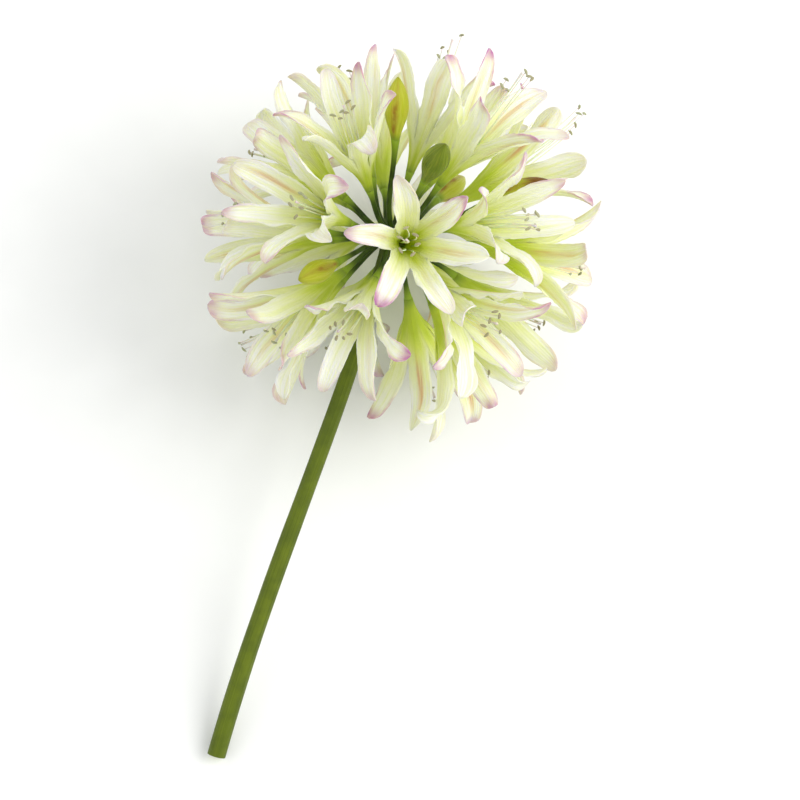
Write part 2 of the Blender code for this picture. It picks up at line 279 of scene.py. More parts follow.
def swept(bm, points, radii, sides, up, shape=None, capped=True):
    """Adds a round sweep along the points and notes where each point lies along and across it.

    shape may change the radius, given the share along and the angle round.
    """
    along, across = notes_of(bm, "along"), notes_of(bm, "across")
    rings = []
    for i, (point, radius) in enumerate(zip(points, radii)):
        ahead = (points[min(i + 1, len(points) - 1)] - points[max(i - 1, 0)]).normalized()
        right = ahead.cross(up).normalized()
        top = right.cross(ahead)
        ring = []
        for j in range(sides):
            angle = math.tau * j / sides
            wide = radius * (shape(i / (len(points) - 1), angle) if shape else 1.0)
            vert = bm.verts.new(point + (right * math.cos(angle) + top * math.sin(angle)) * wide)
            vert[along] = i / (len(points) - 1)
            vert[across] = abs(2.0 * j / sides - 1.0)
            ring.append(vert)
        rings.append(ring)
    join_rings(bm, rings)
    if capped:
        bm.faces.new(list(reversed(rings[0])))
        bm.faces.new(rings[-1])
    return rings


def new_object(name, bm, material):
    mesh = bpy.data.meshes.new(name)
    bm.to_mesh(mesh)
    bm.free()
    mesh.materials.append(material)
    made = bpy.data.objects.new(name, mesh)
    bpy.context.scene.collection.objects.link(made)
    return made


def add_piece(name, bm, material, stands_for=()):
    """A new smooth piece of the flower that moves with it."""
    piece = new_object(name, bm, material)
    piece.data.shade_smooth()
    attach(piece, "root")
    if stands_for:
        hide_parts(*stands_for)
    return piece


def scape_path():
    """The stem's middle line from the hub to the cut, and its radius at each point."""
    rim_height = STEM_CUT_RADIUS * math.cos(math.pi / STEM_FACETS) * math.cos(math.radians(STEM_END_SLOPE))
    drop = HUB.z - rim_height
    cut = Vector((0.0, -math.sqrt(STEM_LENGTH**2 - drop**2), -drop))
    top = -UP_THE_STEM * HUB_RADIUS * STEM_ROOTED
    path = along_curve(
        top,
        top - UP_THE_STEM * (STEM_LENGTH * STEM_HANDLES) + Vector((STEM_BOW, 0.0, 0.0)),
        cut + pointing(90.0, STEM_END_SLOPE) * (STEM_LENGTH * STEM_HANDLES) - Vector((STEM_BOW, 0.0, 0.0)),
        cut,
        STEM_RINGS,
    )
    radii = []
    for i in range(len(path)):
        share = i / STEM_RINGS
        flare = STEM_FLARE * max(0.0, 1.0 - share / FLARE_ENDS) ** 2
        radii.append(STEM_TOP_RADIUS + (STEM_CUT_RADIUS - STEM_TOP_RADIUS) * share + flare)
    return [HUB + point for point in path], radii


def ridged(share, angle):
    """The faint ridges and slow swellings of the stem."""
    ridges = math.cos(STEM_RIDGES * angle + 2.0 * math.sin(5.0 * share))
    return 1.0 - RIDGE_HEIGHT + RIDGE_HEIGHT * (0.6 * ridges + 0.4 * math.sin(23.0 * share + 2.0 * angle))


def build_scape():
    path, radii = scape_path()
    bm = bmesh.new()
    rings = swept(bm, path, radii, STEM_SIDES, Vector((0.0, 0.0, 1.0)), ridged, capped=False)
    for vert in bm.verts:
        vert.co.z = max(vert.co.z, 0.0)
    end = [vert.co.copy() for vert in rings[-1]]
    add_piece("scape_rind", bm, scape_skin(), ["scape"])

    bm = bmesh.new()
    outward = notes_of(bm, "along")
    middle = sum(end, Vector()) / len(end)
    inward = (path[-2] - path[-1]).normalized()
    face = []
    for share in (1.0, *PITH_RINGS):
        ring = []
        for corner in end:
            dished = inward * CUT_DISH * math.sin(math.pi * share) * share
            vert = bm.verts.new(middle.lerp(corner, share) + dished)
            vert[outward] = share
            ring.append(vert)
        face.append(ring)
    join_rings(bm, face)
    bm.faces.new(face[-1])
    bmesh.ops.recalc_face_normals(bm, faces=bm.faces)
    add_piece("scape_cut_face", bm, scape_cut())


build_scape()

# Hub and stalks
# The scape ends in a small dark green hub, and a stalk grows out of it to each floret and bud. It leaves
# sideways, bends outwards and swells into the foot of its flower. The flowers decide the stalks, so the head
# is laid out here: each flower keeps its own share of the ball, and the lowest rest on the table.

STALK_LENGTH = 29.0 * MM
STALK_UNEVENNESS = 2.0  # mm, either way
STALK_LEANING = 4.0 * MM  # how much longer they grow on the head's fuller side, and shorter opposite it
FULLER_SIDE = -20.0  # azimuth
SHORTEST_STALK = 16.0 * MM
STALK_RADIUS = 1.05 * MM
STALK_TIP_RADIUS = 1.8 * MM
STALK_ROOT_RADIUS = 1.5 * MM
ROOT_ENDS = 0.3  # as shares of the stalk's length
TIP_BEGINS = 0.75
STALK_ROOTED = 0.3  # as a share of the hub's radius
STALK_HANDLES = (0.42, 0.38)  # at the hub and at the foot, as shares of its reach
STALK_INTO_FOOT = 0.2 * MM
BOW_SIDEWAYS = 0.7  # how much a stalk leaves sideways to the stem, and back towards it
BOW_BACKWARDS = 0.4
STALK_SIDES = 14
STALK_RINGS = 22
BUD_STALK_EXTRA = (8.0 * MM, 16.0 * MM)

TEPALS = 6
TEPAL_LENGTH = 55.0 * MM
TUBE_LENGTH = 14.0 * MM
FOOT_RADIUS = 1.6 * MM
OUTER_HALF_WIDTH = 4.7 * MM
INNER_HALF_WIDTH = 5.6 * MM
TUBE_LEAN = (4.0, 23.0)  # degrees at the foot and at the throat
TIP_LEAN = 36.0
TIP_LEAN_GROWTH = 1.8
MOST_CURL = 115.0
CURL_FROM = 0.66
ROUNDED_FROM = 0.52
CUP = 1.1 * MM
NOTCH = 0.08
OUTPOSTS = (0.55, 0.7, 0.8, 0.88, 0.94)
SMALLEST_OPENING = -0.3
OPENING_STEP = 0.04
CURL_KEPT = 0.93
PRESSED_DEPTH = 2.5 * MM  # how far below the table the lowest tips would reach if they could
PRESSED_FLORETS = -0.2  # those that point down more steeply lie on the table
PRESS_TRIES = 4
FLORET_SEED = 11
AXIS_TILT = 0.1
FLORET_SIZE = (0.94, 1.05)
WANTED_OPENING = (0.72, 1.08)
OPENING_UNEVENNESS = 0.12
MOST_BEND = 9.0
MOST_TWIST = 16.0
BUD_SEED = 5
BUD_SIZE = (0.82, 1.05)

FLORET_SHARE = 18.5  # degrees seen from the hub
BUD_SHARE = 8.5
STEM_SHARE = 15.0
NEIGHBOURHOOD = 80.0
PUSHES = 200
PUSH = 0.3  # the share of an overlap that one push takes away
WALL_CLEARANCE = 1.0 * MM

# Rough directions from the hub: azimuth, then height above the horizontal
FLORET_DIRECTIONS = (
    (210, 46), (316, 20), (8, 48), (62, 42), (156, 48), (299, 56),
    (12, 8), (50, 2), (97, 20), (165, 16), (195, 2), (232, 4), (318, -6), (130, 0), (262, 32),
    (0, -28), (75, -22), (38, -32), (112, -30), (150, -26), (186, -36), (228, -34), (318, -44),
    (20, -62), (100, -66), (158, -64), (250, -62),
)
BUD_DIRECTIONS = ((124, 48), (58, 74), (28, 26), (232, 38), (78, -45))

STALK_GREEN = screen(60, 84, 16)
STALK_DEEP_GREEN = screen(34, 54, 8)
STALK_LIME = screen(140, 166, 44)


class Site:
    """One place on the head: a floret's, a bud's or the stem's."""

    def __init__(self, direction, share):
        self.direction = direction
        self.share = share


def sites():
    """The florets, the buds and last the stem, pushed apart until each has its share. The stem stays."""
    places = [Site(pointing(*d), FLORET_SHARE) for d in FLORET_DIRECTIONS]
    places += [Site(pointing(*d), BUD_SHARE) for d in BUD_DIRECTIONS]
    places.append(Site(-UP_THE_STEM, STEM_SHARE))
    for _ in range(PUSHES):
        moves = [Vector() for _ in places]
        for i, one in enumerate(places):
            for j, other in enumerate(places):
                apart = one.direction.angle(other.direction) if i != j else math.pi
                short = math.radians(one.share + other.share) - apart
                if short > 0.0:
                    moves[i] += (one.direction - other.direction).normalized() * short * PUSH
        for place, move in zip(places[:-1], moves):
            place.direction = (place.direction + move).normalized()
    return places


def walls(own, places):
    """The planes through the hub between a site and its neighbours, as normals that point away from it."""
    normals = []
    for other in places:
        apart = own.direction.angle(other.direction)
        if other is not own and apart <= math.radians(NEIGHBOURHOOD):
            across = own.direction.cross(other.direction).normalized()
            turned = apart * own.share / (own.share + other.share)
            between = Matrix.Rotation(turned, 3, across) @ own.direction
            normals.append(across.cross(between))
    return normals


class Floret:
    """One floret's place and pose. Its foot is where the stalk ends, and its lists hold a value a tepal."""

    def __init__(self, direction, draw):
        tilt = Vector([draw.uniform(-1.0, 1.0) for _ in range(3)]) * AXIS_TILT
        self.direction = direction
        self.axis = (direction + tilt).normalized()
        self.turn = draw.uniform(0.0, math.tau)
        self.size = draw.uniform(*FLORET_SIZE)
        wide = draw.uniform(*WANTED_OPENING)
        self.wanted = [wide + draw.uniform(-OPENING_UNEVENNESS, OPENING_UNEVENNESS) for _ in range(TEPALS)]
        self.bends = [draw.uniform(-MOST_BEND, MOST_BEND) for _ in range(TEPALS)]
        self.twists = [draw.uniform(-MOST_TWIST, MOST_TWIST) for _ in range(TEPALS)]
        self.curls = [MOST_CURL * draw.random() * draw.random() for _ in range(TEPALS)]

    def placement(self):
        """Moves a point from the floret's own frame (foot at 0, axis along +Z) to its place."""
        side = self.axis.orthogonal().normalized()
        turned = Matrix((side, self.axis.cross(side), self.axis)).transposed()
        return Matrix.Translation(self.foot) @ turned.to_4x4()


def free_share(s):
    """Where a length s from the foot lies on a tepal's free part: 0 at the throat, 1 at the tip."""
    return max(0.0, s - TUBE_LENGTH) / (TEPAL_LENGTH - TUBE_LENGTH)


def half_width(k, free):
    """Half of tepal k's width, at a share of its free length."""
    widest = INNER_HALF_WIDTH if k % 2 else OUTER_HALF_WIDTH
    rounding = max(0.0, free - ROUNDED_FROM) / (1.0 - ROUNDED_FROM)
    return widest * math.sqrt(max(0.0, 1.0 - rounding * rounding))


def rib(floret, k, s):
    """Radius, height and lean of tepal k's rib at a length s from the floret's foot."""
    steps = 16
    radius, height = FOOT_RADIUS, 0.0
    step = s / steps
    for i in range(steps):
        here = (i + 0.5) * step
        in_tube = min(1.0, here / TUBE_LENGTH)
        free = free_share(here)
        lean = math.radians(
            TUBE_LEAN[0]
            + (TUBE_LEAN[1] - TUBE_LEAN[0]) * in_tube
            + TIP_LEAN * floret.openings[k] * free**TIP_LEAN_GROWTH
            + floret.curls[k] * max(0.0, free - CURL_FROM) / (1.0 - CURL_FROM)
        )
        radius += step * math.sin(lean)
        height += step * math.cos(lean)
    return radius * floret.size, height * floret.size, lean


def off_rib(floret, k, row, free, across, half, swing=0.0, more_lift=0.0):
    """The point across from tepal k's rib, from -1 to 1 of half its width, in the floret's own frame."""
    radius, height, lean = row
    bearing = floret.turn + math.radians(360.0 / TEPALS * k + floret.bends[k] * free * free)
    bearing += across * half / radius + swing
    lift = CUP * across * across * math.sin(math.pi * free)
    lift += across * half * math.tan(math.radians(floret.twists[k])) * free * free
    lift += more_lift
    out = radius - lift * math.cos(lean)
    return Vector((out * math.cos(bearing), out * math.sin(bearing), height + lift * math.sin(lean)))


def tepal_point(floret, k, s, across):
    """A point of tepal k's plain middle surface, s from the foot."""
    row = rib(floret, k, s)
    free = free_share(s)
    half = math.pi / TEPALS * row[0]
    if free > 0.0:
        half = min(half * (1.0 - NOTCH), half_width(k, free) * floret.size)
    return off_rib(floret, k, row, free, across, half)


def outposts(floret, k):
    """The points along both edges of tepal k, and its tip, that show how far it reaches."""
    place = floret.placement()
    spots = [(share, side) for share in OUTPOSTS for side in (1.0, -1.0)]
    spots.append((1.0, 0.0))
    return [place @ tepal_point(floret, k, share * TEPAL_LENGTH, across) for share, across in spots]


def open_tepals(floret, normals):
    """Opens each tepal as far as wanted, or as far as the walls to the neighbours let it."""
    floret.openings = list(floret.wanted)
    for k in range(TEPALS):
        while floret.openings[k] > SMALLEST_OPENING:
            reach = [point - HUB for point in outposts(floret, k)]
            if all(p.dot(n) < -WALL_CLEARANCE for p in reach for n in normals):
                break
            floret.openings[k] -= OPENING_STEP
            floret.curls[k] *= CURL_KEPT


def florets(places):
    """Every floret, placed so that none crosses another and the lowest rest on the table."""
    draw = random.Random(FLORET_SEED)
    made = []
    for place in places[: len(FLORET_DIRECTIONS)]:
        floret = Floret(place.direction, draw)
        stalk = STALK_LENGTH + draw.uniform(-STALK_UNEVENNESS, STALK_UNEVENNESS) * MM
        stalk += STALK_LEANING * place.direction.dot(pointing(FULLER_SIDE, 0.0))
        normals = walls(place, places)
        for _ in range(PRESS_TRIES):
            floret.foot = HUB + place.direction * stalk
            open_tepals(floret, normals)
            lowest = min(point.z for k in range(TEPALS) for point in outposts(floret, k))
            if lowest >= -PRESSED_DEPTH or place.direction.z > PRESSED_FLORETS:
                break
            stalk = max(SHORTEST_STALK, stalk + (lowest + PRESSED_DEPTH) / -place.direction.z)
        made.append(floret)
    return made


def bud_places(places):
    """Each bud's direction, foot and size."""
    draw = random.Random(BUD_SEED)
    made = []
    for place in places[len(FLORET_DIRECTIONS) : -1]:
        foot = HUB + place.direction * (STALK_LENGTH + draw.uniform(*BUD_STALK_EXTRA))
        made.append((place.direction, foot, draw.uniform(*BUD_SIZE)))
    return made


def stalk_skin():
    made, tree, shader = new_material("stalk_skin")
    along = noted(tree, "along")
    veins = placed(tree, VEINS, {"Along": along, "Across": noted(tree, "across"), "Count": 7.0})
    mottle = placed(tree, MOTTLE, {"Patch size mm": 5.0, "Grain size mm": 0.35, "Seed": 3.0})
    green = covered(tree, STALK_GREEN, mottle["Patches"], STALK_DEEP_GREEN)
    green = covered(tree, green, veins["Streaks"], SCAPE_GREEN, 0.3)
    green = covered(tree, green, ramped(tree, along, 0.72, 1.0), STALK_LIME)
    feed(tree, shader, Base_Color=green, Roughness=ramped(tree, mottle["Grain"], 0.0, 1.0, 0.38, 0.54),
         Normal=raised(tree, veins["Height"], 0.08 * MM), Specular_IOR_Level=0.2)
    return made


def build_stalks(ends):
    """The hub and every stalk. ends holds the direction, foot and axis of what each one carries."""
    bm = bmesh.new()
    along, across = notes_of(bm, "along"), notes_of(bm, "across")
    bmesh.ops.create_uvsphere(bm, u_segments=40, v_segments=24, radius=1.0)
    turned = UP_THE_STEM.to_track_quat("Z", "Y").to_matrix()
    for vert in bm.verts:
        bearing = math.atan2(vert.co.y, vert.co.x)
        swelling = 0.9 + 0.05 * math.sin(7.0 * bearing + 5.0 * vert.co.z) + 0.04 * math.cos(9.0 * vert.co.z)
        vert[along] = 0.05
        vert[across] = abs(bearing) / math.pi
        vert.co = HUB + turned @ vert.co * HUB_RADIUS * swelling
    for direction, foot, axis in ends:
        reach = foot - HUB
        upward = direction.dot(UP_THE_STEM)
        sideways = direction - UP_THE_STEM * upward
        back = BOW_BACKWARDS * sideways.length * min(1.0, 1.0 + upward)
        leaving = (direction + sideways * BOW_SIDEWAYS - UP_THE_STEM * back).normalized()
        path = along_curve(
            HUB + direction * HUB_RADIUS * STALK_ROOTED,
            HUB + leaving * reach.length * STALK_HANDLES[0],
            foot - axis * reach.length * STALK_HANDLES[1],
            foot + axis * STALK_INTO_FOOT,
            STALK_RINGS,
        )
        radii = []
        for i in range(STALK_RINGS + 1):
            share = i / STALK_RINGS
            root = (STALK_ROOT_RADIUS - STALK_RADIUS) * max(0.0, 1.0 - share / ROOT_ENDS) ** 2
            in_tip = max(0.0, (share - TIP_BEGINS) / (1.0 - TIP_BEGINS))
            swell = (STALK_TIP_RADIUS - STALK_RADIUS) * in_tip**2
            radii.append(STALK_RADIUS + root + swell)
        swept(bm, path, radii, STALK_SIDES, axis.orthogonal())
    add_piece("hub_and_stalks", bm, stalk_skin(), ["umbel_stalks"])


places = sites()
blooms = florets(places)
buds = bud_places(places)
build_stalks([(one.direction, one.foot, one.axis) for one in blooms]
             + [(direction, foot, direction) for direction, foot, _ in buds])

# Florets
# Each open floret is one thin, moist skin: a lime green tube that splits into six tepals, three narrow outer
# ones and three wider inner ones that overlap them. A tepal has a groove along its middle, fine veins, wavy
# edges and a blunt tip that curls back, and it fades from lime to cream with mauve round the tip.

TUBE_ROWS = 9
FREE_ROWS = 30
COLUMNS = 12
LAST_ROW = 0.997  # just short of the tip, so that it keeps a little width
SKIN = 0.5 * MM
SKIN_AT_EDGE = 0.5  # as a share of the skin's thickness in the middle
OVERLAP = 0.45 * MM  # how far an outer tepal stands outside the middle surface, and an inner one inside it
WIDER = 0.1  # how far neighbouring tepals reach over each other, as a share of their width at the throat
PARTED = 0.12  # where along the free part the tepals stand fully apart
GROOVE = 0.4 * MM
GROOVE_WIDTH = 0.16  # as a share of half the tepal
BLUNTNESS = (2.0, 5.2)
WAVE = (0.3 * MM, 1.3 * MM)  # how far the edges swing in and out
WAVES = (1.4, 3.2)  # along the free part
FRILL = 0.16 * MM  # the finer waves on them
TIP_FOLD = (4.0, 38.0)  # degrees that each half of a tip is folded up along the middle
TIP_TWIST = 30.0  # degrees, either way
TIP_SWING = 6.0  # degrees round the floret, either way
TIP_FROM = 0.6  # where along the free part the tip starts
PRESSED_BELOW = 1.6 * MM
PRESS_REACH = 9.0 * MM
FINE_SEED = 23

YOUTH = (-0.13, 0.07)  # how much higher the green climbs in a floret
YOUTH_ON_FULLER_SIDE = 0.13  # the florets there opened last
GREENNESS = (-0.05, 0.07)  # and in one of its tepals
BLUSH = (0.55, 0.34)
LEAST_BLUSH = 0.06
TAN = (-0.9, 0.95)  # there is no tan streak below 0
LIME = screen(188, 208, 48)
THROAT = screen(217, 229, 112)
CREAM_GREEN = screen(236, 241, 190)
CREAM = screen(244, 245, 231)
MAUVE = screen(180, 112, 168)
TAN_PINK = screen(206, 146, 130)


def pressed(point, rest):
    """The point, with what would touch or pass the table laid on it, rest above it."""
    if point.z >= PRESS_REACH:
        return point
    slope = (PRESS_REACH - rest) / (PRESS_REACH - PRESSED_BELOW)
    return Vector((point.x, point.y, rest + max(0.0, point.z - PRESSED_BELOW) * slope))


def tepal_skin():
    made, tree, shader = new_material("tepal_skin")
    along = noted(tree, "along")
    seed = noted(tree, "seed")

    # Where a point lies round the floret, counted in tepals, so that the tube is one seamless skin
    bearing = reckoned(tree, "ARCTAN2", noted(tree, "round_y"), noted(tree, "round_x"))
    place = times(tree, bearing, TEPALS / math.tau)
    off_middle = reckoned(tree, "SUBTRACT", place, reckoned(tree, "ROUND", place))
    from_middle = times(tree, reckoned(tree, "ABSOLUTE", off_middle), 2.0)
    veins = placed(tree, VEINS, {"Along": along, "Across": place, "Count": 10.0, "Seed": seed})
    mottle = placed(tree, MOTTLE, {"Patch size mm": 7.0, "Grain size mm": 0.25, "Seed": seed})

    # The green climbs further up the middle of a tepal than up its sides
    climbed = reckoned(tree, "ADD", along, times(tree, from_middle, 0.13))
    climbed = reckoned(tree, "SUBTRACT", climbed, noted(tree, "greenness"))
    climbed = reckoned(tree, "SUBTRACT", climbed, times(tree, veins["Streaks"], 0.05))
    colour = covered(tree, LIME, ramped(tree, along, 0.1, 0.0), STALK_LIME)
    colour = covered(tree, colour, ramped(tree, climbed, 0.16, 0.34), THROAT)
    colour = covered(tree, colour, ramped(tree, climbed, 0.26, 0.5), CREAM_GREEN)
    colour = covered(tree, colour, ramped(tree, climbed, 0.42, 0.85), CREAM)
    vein_tint = times(tree, veins["Streaks"], ramped(tree, along, 0.25, 0.6, 0.1, 0.34))
    colour = covered(tree, colour, vein_tint, THROAT)

    # A pinkish tan streak up the middle of some tepals
    middle = ramped(tree, from_middle, 0.42, 0.05)
    window = times(tree, ramped(tree, along, 0.35, 0.6), ramped(tree, along, 0.98, 0.75))
    streak = times(tree, times(tree, middle, window), noted(tree, "tan"))
    streak = times(tree, streak, ramped(tree, veins["Streaks"], 0.0, 1.0, 0.45, 1.0))
    colour = covered(tree, colour, streak, TAN_PINK)

    # Mauve on the tip and down both edges from it
    edge = times(tree, ramped(tree, from_middle, 0.62, 0.98), ramped(tree, along, 0.66, 0.92))
    fuller_edge = ramped(tree, from_middle, 0.0, 0.7, 0.72, 1.0)
    tip = times(tree, ramped(tree, along, 0.86, 0.98), fuller_edge)
    blush = reckoned(tree, "MAXIMUM", edge, tip)
    blush = times(tree, blush, noted(tree, "blush"))
    blush = times(tree, blush, ramped(tree, mottle["Patches"], 0.0, 1.0, 0.7, 1.0))
    colour = covered(tree, colour, blush, MAUVE)

    height = reckoned(tree, "ADD", veins["Height"], times(tree, mottle["Grain"], 0.2))
    feed(tree, shader, Base_Color=colour, Roughness=ramped(tree, mottle["Grain"], 0.0, 1.0, 0.4, 0.56),
         Normal=raised(tree, height, 0.14 * MM), Specular_IOR_Level=0.4,
         Subsurface_Weight=0.7, Subsurface_Radius=(1.0, 1.0, 0.4), Subsurface_Scale=2.0 * MM)
    return made


class TepalLook:
    """What makes one tepal look a little different from the next."""

    def __init__(self, draw, k):
        self.side = -1.0 if k % 2 else 1.0
        self.wave = draw.uniform(*WAVE)
        self.waves = draw.uniform(*WAVES)
        self.wave_start = draw.uniform(0.0, math.tau)
        self.bluntness = draw.uniform(*BLUNTNESS)
        self.tip_fold = math.tan(math.radians(draw.uniform(*TIP_FOLD)))
        self.tip_twist = math.tan(math.radians(draw.uniform(-TIP_TWIST, TIP_TWIST)))
        self.tip_swing = math.radians(draw.uniform(-TIP_SWING, TIP_SWING))
        self.blush = min(1.0, max(LEAST_BLUSH, draw.gauss(*BLUSH)))
        self.tan = max(0.0, draw.uniform(*TAN))
        self.greenness = draw.uniform(*GREENNESS)


def skin_point(floret, k, s, across, look, row):
    """A point of the fine middle surface: the tepal with its groove, its waves and its blunt tip."""
    free = free_share(s)
    half = math.pi / TEPALS * row[0]
    groove = GROOVE * math.exp(-((across / GROOVE_WIDTH) ** 2))
    lift = -groove * math.sin(math.pi * min(1.0, s / TEPAL_LENGTH))
    if free == 0.0:
        return off_rib(floret, k, row, free, across, half, 0.0, lift)
    parting = min(1.0, free / PARTED)
    widest = (INNER_HALF_WIDTH if k % 2 else OUTER_HALF_WIDTH) * floret.size
    rounding = max(0.0, free - ROUNDED_FROM) / (1.0 - ROUNDED_FROM)
    half = min(half * (1.0 + WIDER * parting), widest * max(0.0, 1.0 - rounding**look.bluntness) ** 0.55)
    in_tip = max(0.0, free - TIP_FROM) / (1.0 - TIP_FROM)
    in_tip *= in_tip * (3.0 - 2.0 * in_tip)
    lift += half * in_tip * (look.tip_twist * across + look.tip_fold * abs(across) ** 1.4)
    lift -= OVERLAP * math.sin(math.pi * 0.5 * parting) * look.side * (1.0 - 0.5 * free)
    side_start = look.wave_start + (1.3 if across > 0.0 else 0.0)
    swing = look.wave * math.sin(look.waves * math.tau * free + side_start)
    swing += FRILL * math.sin(4.7 * look.waves * math.tau * free + 2.0 * side_start)
    lift += swing * abs(across) ** 3 * math.sin(math.pi * min(1.0, free)) ** 0.5
    return off_rib(floret, k, row, free, across, half, look.tip_swing * in_tip, lift)


def build_floret(number, floret, material, draw):
    """The tube's rows are shared by all six tepals; above it each tepal goes on by itself."""
    bm = bmesh.new()
    noted_here = ("along", "round_x", "round_y", "blush", "tan", "greenness", "seed")
    notes = {name: notes_of(bm, name) for name in noted_here}
    thin = bm.verts.layers.deform.verify()
    place = floret.placement()
    looks = [TepalLook(draw, k) for k in range(TEPALS)]
    fuller_side = max(0.0, floret.direction.dot(pointing(FULLER_SIDE, 0.0)))
    youth = draw.uniform(*YOUTH) + YOUTH_ON_FULLER_SIDE * fuller_side
    seed = draw.uniform(0.0, 40.0)

    def corner(k, s, across, row, tube=False):
        point = place @ skin_point(floret, k, s, across, looks[k], row)
        vert = bm.verts.new(pressed(point, SKIN / 2.0))
        share = min(1.0, s / TEPAL_LENGTH)
        vert[notes["along"]] = share
        bearing = math.tau * (k + across / 2.0) / TEPALS
        vert[notes["round_x"]] = math.cos(bearing)
        vert[notes["round_y"]] = math.sin(bearing)
        vert[notes["greenness"]] = youth if tube else youth + looks[k].greenness * share
        vert[notes["blush"]] = 0.0 if tube else looks[k].blush
        vert[notes["tan"]] = 0.0 if tube else looks[k].tan
        vert[notes["seed"]] = seed
        edge = abs(across) ** 4 * min(1.0, max(0.0, s - TUBE_LENGTH) / (0.2 * TEPAL_LENGTH))
        vert[thin][0] = 1.0 - (1.0 - SKIN_AT_EDGE) * edge
        return vert

    shares = [i / COLUMNS * 2.0 - 1.0 for i in range(COLUMNS + 1)]
    rings = []
    for i in range(TUBE_ROWS + 1):
        s = TUBE_LENGTH * max(0.02, i / TUBE_ROWS)
        row = rib(floret, 0, s)
        rings.append([corner(k, s, across, row, tube=True) for k in range(TEPALS) for across in shares[:-1]])
    foot = bm.verts.new(floret.foot)
    foot[thin][0] = 1.0
    foot[notes["seed"]] = seed
    foot[notes["greenness"]] = youth
    count = TEPALS * COLUMNS
    for i in range(count):
        bm.faces.new((foot, rings[0][(i + 1) % count], rings[0][i]))
    join_rings(bm, rings)
    for k in range(TEPALS):
        below = [rings[-1][(k * COLUMNS + i) % count] for i in range(COLUMNS + 1)]
        for i in range(1, FREE_ROWS + 1):
            free = (i / FREE_ROWS) ** 0.92 if i < FREE_ROWS else LAST_ROW
            s = TUBE_LENGTH + free * (TEPAL_LENGTH - TUBE_LENGTH)
            row = rib(floret, k, s)
            above = [corner(k, s, across, row) for across in shares]
            for a, b, c, d in zip(below, below[1:], above[1:], above):
                bm.faces.new((a, b, c, d))
            below = above

    piece = add_piece(f"floret_{number:02d}_tepals", bm, material, [f"floret_{number:02d}"])
    piece.vertex_groups.new(name="thickness")
    thicken = piece.modifiers.new("skin", "SOLIDIFY")
    thicken.thickness = SKIN
    thicken.offset = 0.0
    thicken.vertex_group = "thickness"
    settle(piece)
    for vertex in piece.data.vertices:
        vertex.co.z = max(vertex.co.z, 0.0)


def settle(piece):
    """Replaces a piece's mesh by what its modifiers make of it."""
    settled = bpy.data.meshes.new_from_object(piece.evaluated_get(bpy.context.evaluated_depsgraph_get()))
    piece.modifiers.clear()
    piece.data = settled


skin_of_tepals = tepal_skin()
fine_draw = random.Random(FINE_SEED)
for number, floret in enumerate(blooms, start=1):
    build_floret(number, floret, skin_of_tepals, fine_draw)

# Stamens and styles
# Inside each floret six pale filaments grow from the throat and curve the same way, each with a small
# grey-green or brown anther balanced across its end. The style grows up the middle of them and ends in a dot.

FILAMENTS = 6
FILAMENT_RADIUS = 0.32 * MM
FILAMENT_TAPER = 0.45
FILAMENT_ROOT = 0.7  # where it starts, as a share of the tube's length and radius
FILAMENT_SIDES = 6
FILAMENT_RINGS = 12
FILAMENT_REACH = (0.64, 0.86)  # as shares of a tepal's length
FILAMENT_UNEVENNESS = 0.06
LONG_REACH = 1.02  # in the oldest florets, whose stamens have grown out past the mouth
LONG_UNEVENNESS = 0.12
OLDEST = (4, 8, 9)  # the numbers of those florets
STYLE_OVERREACH = 0.04  # how much further the style goes
STYLE_RADIUS = 1.15  # as shares of a filament's
STYLE_DOT_RADIUS = 1.7
STAMEN_SWEEP = 6.5 * MM  # how far the stamens curve to one side
SWEEP_SHARES = (0.4, 1.0)
STAMEN_SPREAD = 5.0 * MM
SPREAD_SHARES = (0.5, 1.1)
ANTHER_LENGTH = 2.8 * MM
ANTHER_RADIUS = 0.6 * MM
ANTHER_GROOVE = 0.3  # as a share of its radius
ANTHER_BOW = 0.35 * MM
ANTHER_SIDES = 12
STAMENS_ABOVE_TABLE = 2.2 * MM

FILAMENT_PALE = screen(236, 240, 214)
FILAMENT_GREEN = screen(190, 206, 132)
FILAMENT_MAUVE = screen(206, 176, 204)
ANTHER_GREY_GREEN = screen(178, 184, 146)
ANTHER_BROWN = screen(146, 126, 86)
POLLEN = screen(220, 216, 172)


def filament_skin():
    made, tree, shader = new_material("filament_skin")
    along = noted(tree, "along")
    mottle = placed(tree, MOTTLE, {"Patch size mm": 4.0, "Grain size mm": 0.3, "Seed": 7.0})
    colour = covered(tree, FILAMENT_GREEN, ramped(tree, along, 0.1, 0.5), FILAMENT_PALE)
    colour = covered(tree, colour, ramped(tree, along, 0.8, 1.0), FILAMENT_MAUVE, 0.6)
    colour = covered(tree, colour, mottle["Patches"], FILAMENT_GREEN, 0.3)
    feed(tree, shader, Base_Color=colour, Roughness=ramped(tree, mottle["Grain"], 0.0, 1.0, 0.4, 0.55),
         Subsurface_Weight=0.3, Subsurface_Scale=0.5 * MM)
    return made


def anther_skin():
    made, tree, shader = new_material("anther_skin")
    mottle = placed(tree, MOTTLE, {"Patch size mm": 22.0, "Grain size mm": 0.12, "Seed": 9.0})
    colour = covered(tree, ANTHER_GREY_GREEN, mottle["Patches"], ANTHER_BROWN, 0.7)
    colour = covered(tree, colour, mottle["Grain"], POLLEN, 0.4)
    feed(tree, shader, Base_Color=colour, Roughness=ramped(tree, mottle["Grain"], 0.0, 1.0, 0.6, 0.85),
         Normal=raised(tree, mottle["Grain"], 0.1 * MM))
    return made


